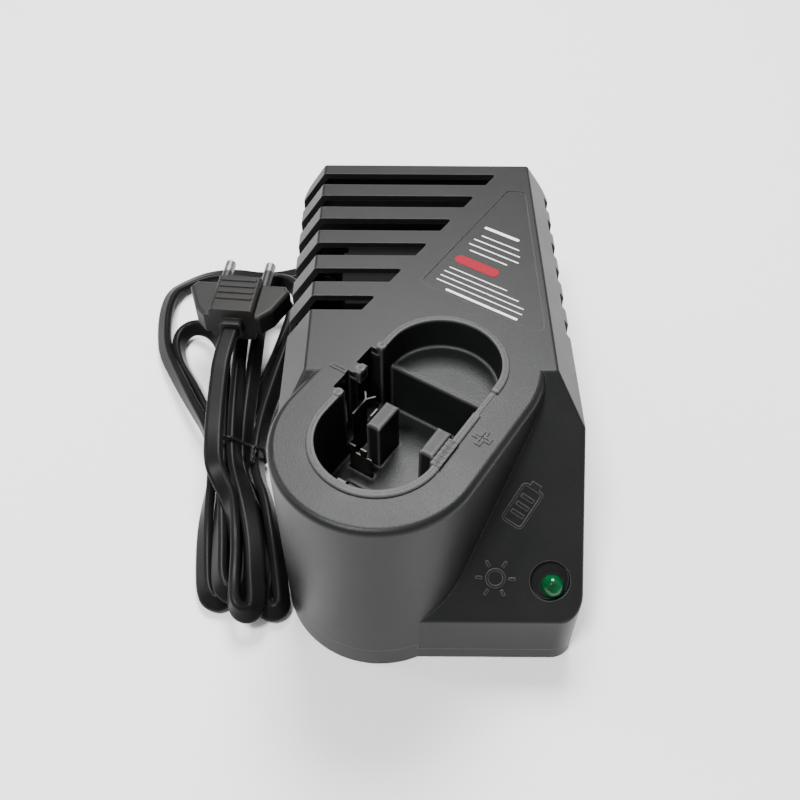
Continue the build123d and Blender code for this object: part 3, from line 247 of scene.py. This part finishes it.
# The turns go through a spline of their own as x, so that they change as smoothly as the line does.
lead_turns = drawn_line("lead_turns", [(turn / 1000, 0, 0) for x, y, z, turn in lead_points])

# The section is a flat bar with rounded corners, and a point on each side of a corner that keeps the faces flat.
corner = 0.0015
beside_corner = 0.0003
section = []
for quarter, (side, top) in enumerate(((1, 1), (-1, 1), (-1, -1), (1, -1))):
    hub = Vector((side * (lead_width / 2 - corner), top * (lead_thickness / 2 - corner)))
    spokes = [Vector((math.cos(math.radians(turn)), math.sin(math.radians(turn))))
              for turn in (quarter * 90, quarter * 90 + 30, quarter * 90 + 60, quarter * 90 + 90)]
    section.append(hub + spokes[0] * corner - spokes[3] * beside_corner)
    section += [hub + spoke * corner for spoke in spokes]
    section.append(hub + spokes[3] * corner - spokes[0] * beside_corner)

lead_vertices = []
for number, centre in enumerate(lead_line):
    before = lead_line[max(number - 1, 0)]
    after = lead_line[min(number + 1, len(lead_line) - 1)]
    forward = (after - before).normalized()
    level = forward.cross(Vector((0, 0, 1))).normalized()
    upright = level.cross(forward)
    turn = math.radians(lead_turns[number].x * 1000)
    across = level * math.cos(turn) + upright * math.sin(turn)
    through = upright * math.cos(turn) - level * math.sin(turn)
    lead_vertices += [centre + across * x + through * y for x, y in section]

around = len(section)
lead_faces = []
for ring in range(len(lead_line) - 1):
    near, far = ring * around, (ring + 1) * around
    for step in range(around):
        beyond = (step + 1) % around
        lead_faces.append((near + step, near + beyond, far + beyond, far + step))
lead_faces.append(tuple(range(around)))
lead_faces.append(tuple((len(lead_line) - 1) * around + step for step in reversed(range(around))))

lead_mesh = bpy.data.meshes.new("mains_lead_flat")
lead_mesh.from_pydata(lead_vertices, [], lead_faces)
lead_mesh.update()
lead = bpy.data.objects.new("mains_lead_flat", lead_mesh)
bpy.context.scene.collection.objects.link(lead)
bpy.ops.object.select_all(action="DESELECT")
lead.select_set(True)
bpy.context.view_layer.objects.active = lead
bpy.ops.object.mode_set(mode="EDIT")
bpy.ops.mesh.select_all(action="SELECT")
bpy.ops.mesh.normals_make_consistent(inside=False)
bpy.ops.object.mode_set(mode="OBJECT")
bpy.ops.object.shade_smooth_by_angle(angle=math.radians(45))

vinyl = Finish("black_vinyl")
skin = vinyl.noise(900, 3.0)
handling = vinyl.noise(60, 4.0, 0.6)
vinyl.give(
    Base_Color=vinyl.ramp(handling, 0.3, 0.75, (0.005, 0.005, 0.005), (0.0085, 0.0083, 0.0083)),
    Roughness=0.28 + handling * 0.14,
    Specular_IOR_Level=0.08,
    Normal=vinyl.bump(skin, 0.25, 0.0001),
)
lead.data.materials.append(vinyl.material)
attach(lead, "case")
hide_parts("mains_lead", "plug_lead", "lead_hank")


# ---------------------------------------------------------------- hank tie
# A black coated wire, wrapped once round the folded lead and twisted together at its side. Its turn lies in one
# upright plane, with corners given as x and z in millimetres.
tie_y = -3.0
tie_corners = ((-92.0, 0.9), (-92.0, 16.2), (-87.2, 18.6), (-81.2, 19.6), (-75.4, 14.6), (-67.8, 11.2), (-67.8, 0.9))
tie_points = []
for (x, z), (next_x, next_z) in zip(tie_corners, tie_corners[1:] + tie_corners[:1]):
    for share in (0.12, 0.5, 0.88):
        tie_points.append((x + (next_x - x) * share, tie_y, z + (next_z - z) * share))
wire_radius = 0.0008
tie_curve = bpy.data.curves.new("hank_tie_wire", "CURVE")
tie_curve.dimensions = "3D"
tie_curve.bevel_depth = wire_radius
tie_curve.bevel_resolution = 3
tie_curve.resolution_u = 6
tie_curve.use_fill_caps = True
tie_spline = tie_curve.splines.new("NURBS")
tie_spline.points.add(len(tie_points) - 1)
for made, (x, y, z) in zip(tie_spline.points, tie_points):
    made.co = (x / 1000, y / 1000, z / 1000, 1)
tie_spline.order_u = 3
tie_spline.use_cyclic_u = True

# The two ends wind round each other, forwards and a little down.
twist_x, twist_y, twist_z = -0.0722, -0.0030, 0.0134
twist_radius = 0.0007
twist_angle = 2.2
twist_step = 0.0016
twist_drop = 0.0003
for first_angle in (math.pi, 0):
    twist = tie_curve.splines.new("NURBS")
    twist.points.add(5)
    for number, made in enumerate(twist.points):
        angle = number * twist_angle + first_angle
        made.co = (twist_x + twist_radius * math.cos(angle), twist_y - number * twist_step,
                   twist_z + twist_radius * math.sin(angle) - number * twist_drop, 1)
    twist.order_u = 3
    twist.use_endpoint_u = True
tie_holder = bpy.data.objects.new("hank_tie_holder", tie_curve)
bpy.context.scene.collection.objects.link(tie_holder)
bpy.context.view_layer.update()
tie_mesh = bpy.data.meshes.new_from_object(tie_holder)
bpy.data.objects.remove(tie_holder)
tie = bpy.data.objects.new("hank_tie_wire", tie_mesh)
bpy.context.scene.collection.objects.link(tie)
coated_wire = Finish("coated_wire")
coated_wire.give(
    Base_Color=coated_wire.ramp(coated_wire.noise(300), 0.3, 0.7, (0.006, 0.006, 0.006), (0.012, 0.012, 0.012)),
    Roughness=0.32 + coated_wire.noise(500) * 0.1,
    Specular_IOR_Level=0.15,
    Normal=coated_wire.bump(coated_wire.noise(1500), 0.2, 0.00005),
)
tie.data.materials.append(coated_wire.material)
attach(tie, "case")
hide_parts("hank_tie")


# ---------------------------------------------------------------- case
# Two mouldings in charcoal plastic with a fine spark-eroded grain: the cover, and the tray screwed up under it.
# Their edges are a little smoother and painted lighter, a little for wear and mostly as a painted highlight, and the
# flats are faintly mottled.
def dress(material, *names):
    """Gives nodes their finish."""
    for name in names:
        nodes[name].data.materials.clear()
        nodes[name].data.materials.append(material)


case_plastic = Finish("case_plastic")
grain = case_plastic.noise(2600, 2.0)
mottle = case_plastic.noise(45, 5.0, 0.65)
# Edges painted much lighter than the flats: mostly a painted highlight, partly wear.
case_wear_and_highlight_edges = case_plastic.edges(0.0005)
case_plastic.give(
    Base_Color=case_plastic.mix(
        case_wear_and_highlight_edges * 3.0,
        case_plastic.ramp(mottle, 0.25, 0.8, (0.0078, 0.0084, 0.0084), (0.0118, 0.0118, 0.0118)),
        (0.110, 0.109, 0.106, 1),
    ),
    Roughness=0.33 + mottle * 0.12 - case_wear_and_highlight_edges * 0.10,
    Specular_IOR_Level=0.19,
    Normal=case_plastic.bump(grain, 0.45, 0.00014),
)
dress(case_plastic.material, "top_cover", "base_tray")


# ---------------------------------------------------------------- label print
# Plain white rules and a red bar, printed in place of any words on the sunk panel beside the vents. The ink
# stands a hair above the plastic.
label_corner = Vector((-0.0034, 0.0176, 0.08681))
label_up = Vector((0.54171, 0.84057, 0))
label_across = Vector((0.84057, -0.54171, 0))
ink_thickness = 0.00005
end_rounding = 0.96


def printed_bar(name, left, right, up, width):
    """One bar with round ends, lying along the label's width. Its sizes are in millimetres from the corner."""
    bpy.ops.object.select_all(action="DESELECT")
    middle = label_corner + label_across * (left + right) / 2000 + label_up * up / 1000
    bpy.ops.mesh.primitive_plane_add(size=1, location=middle)
    bar = bpy.context.object
    bar.name = name
    bar.scale = ((right - left) / 1000, width / 1000, 1)
    bar.rotation_euler[2] = math.atan2(label_across.y, label_across.x)
    bpy.ops.object.transform_apply(location=True, rotation=True, scale=True)
    bpy.ops.object.mode_set(mode="EDIT")
    bpy.ops.mesh.select_all(action="SELECT")
    bpy.ops.mesh.bevel(offset=width / 2000 * end_rounding, segments=6, affect="VERTICES")
    bpy.ops.mesh.extrude_region_move(TRANSFORM_OT_translate={"value": (0, 0, ink_thickness)})
    bpy.ops.mesh.select_all(action="SELECT")
    bpy.ops.mesh.normals_make_consistent(inside=False)
    bpy.ops.object.mode_set(mode="OBJECT")
    return bar


rules = [printed_bar("label_rules", left, right, up, width) for left, right, up, width in (
    (4.0, 19.5, 41.8, 1.5),
    (5.5, 22.3, 36.6, 0.6), (4.0, 24.4, 33.2, 0.6), (3.8, 25.6, 29.8, 0.6), (6.0, 22.5, 26.4, 0.6),
    (4.6, 29.5, 13.6, 0.5), (4.0, 35.8, 10.8, 0.5), (4.0, 39.4, 8.0, 0.5), (4.0, 40.2, 5.2, 0.5),
    (9.9, 40.0, 2.0, 1.1),
)]
bpy.ops.object.select_all(action="DESELECT")
for rule in rules:
    rule.select_set(True)
bpy.context.view_layer.objects.active = rules[0]
bpy.ops.object.join()
white_ink = Finish("white_ink")
worn = white_ink.noise(700, 4.0, 0.7)
white_ink.give(
    Base_Color=white_ink.ramp(worn, 0.25, 0.5, (0.42, 0.42, 0.42), (0.80, 0.80, 0.79)),
    Roughness=0.42 + worn * 0.2,
    Normal=white_ink.bump(white_ink.noise(2600), 0.25, 0.0001),
)
rules[0].data.materials.append(white_ink.material)
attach(rules[0], "case")

red_bar = printed_bar("label_red_bar", 3.6, 22.4, 19.8, 4.8)
red_ink = Finish("red_ink")
faded = red_ink.noise(300, 4.0, 0.7)
red_ink.give(
    Base_Color=red_ink.ramp(faded, 0.2, 0.8, (0.19, 0.001, 0.010), (0.27, 0.003, 0.016)),
    Roughness=0.50 + faded * 0.2,
    Specular_IOR_Level=0.15,
    Normal=red_ink.bump(red_ink.noise(2600), 0.25, 0.0001),
)
red_bar.data.materials.append(red_ink.material)
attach(red_bar, "case")


# ---------------------------------------------------------------- battery socket and contact carrier
# The lining of the battery well and the block of posts that stands up through its floor, both in a smoother
# black plastic than the case. The rim is snapped over the edge of the cover.
def moulded(name, dark, light, rough, shine, grain_size=2600, grain_strength=0.2, metal=0.0, cloud_size=60):
    """A finish that varies a little in colour and gloss over a fine grain."""
    finish = Finish(name)
    cloud = finish.noise(cloud_size, 4.0, 0.6)
    finish.give(
        Base_Color=finish.ramp(cloud, 0.3, 0.75, dark, light),
        Roughness=rough - 0.07 + cloud * 0.14,
        Metallic=metal,
        Specular_IOR_Level=shine,
        Normal=finish.bump(finish.noise(grain_size), grain_strength, 0.0001),
    )
    return finish.material


socket_black = Finish("socket_black")
scuffs = socket_black.noise(60, 5.0, 0.65)
# Edges, the shelf's front edge and the post tops among them, are painted much lighter: mostly a painted highlight,
# partly wear on the post tops.
socket_highlight_and_wear_edges = socket_black.edges(0.0022)
socket_black.give(
    Base_Color=socket_black.mix(
        socket_highlight_and_wear_edges * 4.5,
        socket_black.ramp(scuffs, 0.25, 0.8, (0.0068, 0.0078, 0.0076), (0.0110, 0.0119, 0.0116)),
        (0.130, 0.132, 0.129, 1),
    ),
    Roughness=0.30 + scuffs * 0.18,
    Specular_IOR_Level=0.18,
    Normal=socket_black.bump(socket_black.noise(1800), 0.5, 0.00015, 0.0011),
)
dress(socket_black.material, "battery_socket", "contact_carrier")


# ---------------------------------------------------------------- spring contacts
# Four blades stamped from nickel-plated spring strip. The plating is a little dull, and is coloured near black:
# painted shade of the deep well they stand in. It is brushed lengthways where the battery's tabs rub it.
nickel = Finish("nickel_plate")
tarnish = nickel.noise(160, 4.0, 0.6)
brushing = nickel.node("ShaderNodeTexNoise", None, {
    "Vector": nickel.node("ShaderNodeMapping", None, {"Vector": nickel.place, "Scale": (1.0, 1.0, 0.05)}),
    "Scale": 3000.0, "Detail": 2.0,
})
nickel.give(
    # Near-black metal, varied at random: painted shade of the well.
    Base_Color=nickel.ramp(tarnish, 0.3, 0.75, (0.040, 0.038, 0.035), (0.110, 0.106, 0.100)),
    Metallic=1.0,
    Roughness=0.40 + tarnish * 0.16,
    Normal=nickel.bump(brushing, 0.15, 0.00005, 0.00015),
)
dress(nickel.material, "negative_contact", "positive_contact", "temperature_contact", "coding_contact")


# ---------------------------------------------------------------- status lamp
# A moulded lens in clear green plastic, pushed into its hole from behind. It is deeper in colour where it is
# thick, and takes a little light from the diode under it.
lens = Finish("green_lens")
depth_of_colour = lens.noise(300)
lens.give(
    Base_Color=lens.ramp(depth_of_colour, 0.3, 0.7, (0.0, 0.026, 0.008), (0.001, 0.070, 0.020)),
    Roughness=0.12 + lens.noise(120) * 0.06,
    Specular_IOR_Level=0.35,
    Emission_Color=(0.0, 0.35, 0.07, 1),
    Emission_Strength=0.012,
)
dress(lens.material, "status_lamp")


# ---------------------------------------------------------------- mains plug
# Soft black vinyl moulded over the pins and the end of the lead, a little duller than the lead, mottled, and
# lighter along its edges. The pins are plated brass, sleeved in black for the half nearest the body.
plug_vinyl = Finish("plug_vinyl")
rubbing = plug_vinyl.noise(80, 5.0, 0.65)
plug_edges = plug_vinyl.edges(0.0010)
plug_vinyl.give(
    Base_Color=plug_vinyl.mix(
        plug_edges * 1.4,
        plug_vinyl.ramp(rubbing, 0.25, 0.8, (0.0110, 0.0104, 0.0100), (0.0170, 0.0160, 0.0154)),
        (0.046, 0.043, 0.041, 1),
    ),
    Roughness=0.38 + rubbing * 0.18,
    Specular_IOR_Level=0.20,
    Normal=plug_vinyl.bump(plug_vinyl.noise(1400), 0.3, 0.0001, 0.0006),
)
dress(plug_vinyl.material, "plug_body")

pin_finish = Finish("plug_pins")
sleeve_end, plating_start = 0.0850, 0.0853
along_pin = pin_finish.node("ShaderNodeSeparateXYZ", None, {"Vector": pin_finish.place}, 1)
bare_metal = pin_finish.node("ShaderNodeMapRange", None, {
    "Value": along_pin, "From Min": sleeve_end, "From Max": plating_start, "To Min": 0.0, "To Max": 1.0,
})
pin_wear = pin_finish.noise(400, 3.0, 0.6)
pin_finish.give(
    Base_Color=pin_finish.mix(
        bare_metal, (0.010, 0.010, 0.010, 1),
        pin_finish.ramp(pin_wear, 0.3, 0.7, (0.20, 0.195, 0.185), (0.34, 0.335, 0.32)),
    ),
    Metallic=bare_metal,
    Roughness=0.34 + pin_wear * 0.14,
    Normal=pin_finish.bump(pin_finish.noise(2400), 0.1, 0.00005),
)
dress(pin_finish.material, "plug_pins")


# ---------------------------------------------------------------- cord gland and clamp
# The gland is a tapered sleeve of the same vinyl as the lead. Inside, a bar of hard black plastic clamps the
# lead's end under two screws.
dress(vinyl.material, "cord_gland", "lead_end")
dress(moulded("clamp_black", (0.010, 0.010, 0.010), (0.018, 0.018, 0.018), 0.42, 0.4), "cord_clamp")


# ---------------------------------------------------------------- feet and screws
# Four pads of soft rubber are stuck under the tray. Zinc-plated screws hold the case together, and the ones
# inside it are blackened.
dress(moulded("foot_rubber", (0.008, 0.008, 0.008), (0.016, 0.016, 0.016), 0.82, 0.3, 1200, 0.4), "rubber_feet")
zinc = moulded("zinc_plate", (0.30, 0.30, 0.29), (0.48, 0.48, 0.47), 0.36, 0.5, 3000, 0.2, 1.0, 200)
dress(zinc, "case_screws")
dress(moulded("black_screws", (0.006, 0.006, 0.006), (0.014, 0.014, 0.014), 0.5, 0.2, 3000, 0.2, 0.0, 200),
      "board_screws", "transformer_screws", "clamp_screws")


# ---------------------------------------------------------------- transformer
# A lacquered stack of iron plates with the windings on a nylon bobbin, wrapped in tape. A steel bracket holds it
# to the tray. All of it is coloured near black: painted shade for the inside of the case seen through the vents.
lacquer = Finish("iron_plates")
plates = lacquer.node("ShaderNodeTexWave", {"bands_direction": "Y"}, {
    "Vector": lacquer.place, "Scale": 320.0, "Distortion": 0.2,
})
lacquer.give(
    Base_Color=lacquer.ramp(plates, 0.2, 0.8, (0.0030, 0.0030, 0.0032), (0.0080, 0.0080, 0.0085)),
    Roughness=0.62 + lacquer.noise(90) * 0.2,
    Specular_IOR_Level=0.12,
    Normal=lacquer.bump(plates, 0.5, 0.0002),
)
dress(lacquer.material, "transformer_core")
dress(moulded("nylon_in_painted_shade", (0.005, 0.005, 0.005), (0.009, 0.009, 0.009), 0.6, 0.2), "transformer_bobbin")
dress(moulded("tape_in_painted_shade", (0.006, 0.005, 0.004), (0.012, 0.010, 0.008), 0.5, 0.2, 900), "transformer_winding")
dress(moulded("steel_in_painted_shade", (0.003, 0.003, 0.003), (0.007, 0.007, 0.007), 0.7, 0.12, 900, 0.3),
      "transformer_bracket")


# ---------------------------------------------------------------- circuit board
# A glass-fibre board under green solder resist, with the copper showing through it as paler lines. The parts
# soldered to it are epoxy, sleeved cans, a plated fuse and a black heat sink.
resist = Finish("green_resist")
tracks = resist.node("ShaderNodeTexVoronoi", {"feature": "DISTANCE_TO_EDGE"}, {
    "Vector": resist.place, "Scale": 130.0, "Randomness": 0.6,
})
resist.give(
    Base_Color=resist.ramp(tracks, 0.06, 0.10, (0.010, 0.050, 0.022), (0.020, 0.100, 0.042)),
    Roughness=0.24 + resist.noise(200) * 0.12,
    Normal=resist.bump(tracks, 0.2, 0.00005),
)
dress(resist.material, "circuit_board")
dress(moulded("black_epoxy", (0.009, 0.009, 0.009), (0.015, 0.015, 0.015), 0.55, 0.4, 1800, 0.3),
      "control_chip", "rectifier_diodes", "power_transistor")
dress(moulded("blue_sleeve", (0.006, 0.010, 0.040), (0.014, 0.022, 0.070), 0.28, 0.5, 900, 0.1),
      "filter_capacitors")
dress(zinc, "fuse")
dress(moulded("black_anodising", (0.012, 0.012, 0.013), (0.020, 0.020, 0.021), 0.5, 0.4, 1500, 0.2, 0.6),
      "heat_sink")


# ---------------------------------------------------------------- wires
# Stranded wires in coloured vinyl: red from the board to the contacts and the lamp, blue from the transformer,
# brown from the mains.
dress(moulded("red_wire", (0.22, 0.010, 0.010), (0.34, 0.018, 0.018), 0.35, 0.5, 900, 0.1),
      "output_wires", "lamp_wires")
dress(moulded("blue_wire", (0.010, 0.030, 0.18), (0.018, 0.050, 0.28), 0.35, 0.5, 900, 0.1), "transformer_leads")
dress(moulded("brown_wire", (0.060, 0.022, 0.010), (0.100, 0.038, 0.016), 0.35, 0.5, 900, 0.1), "mains_wires")
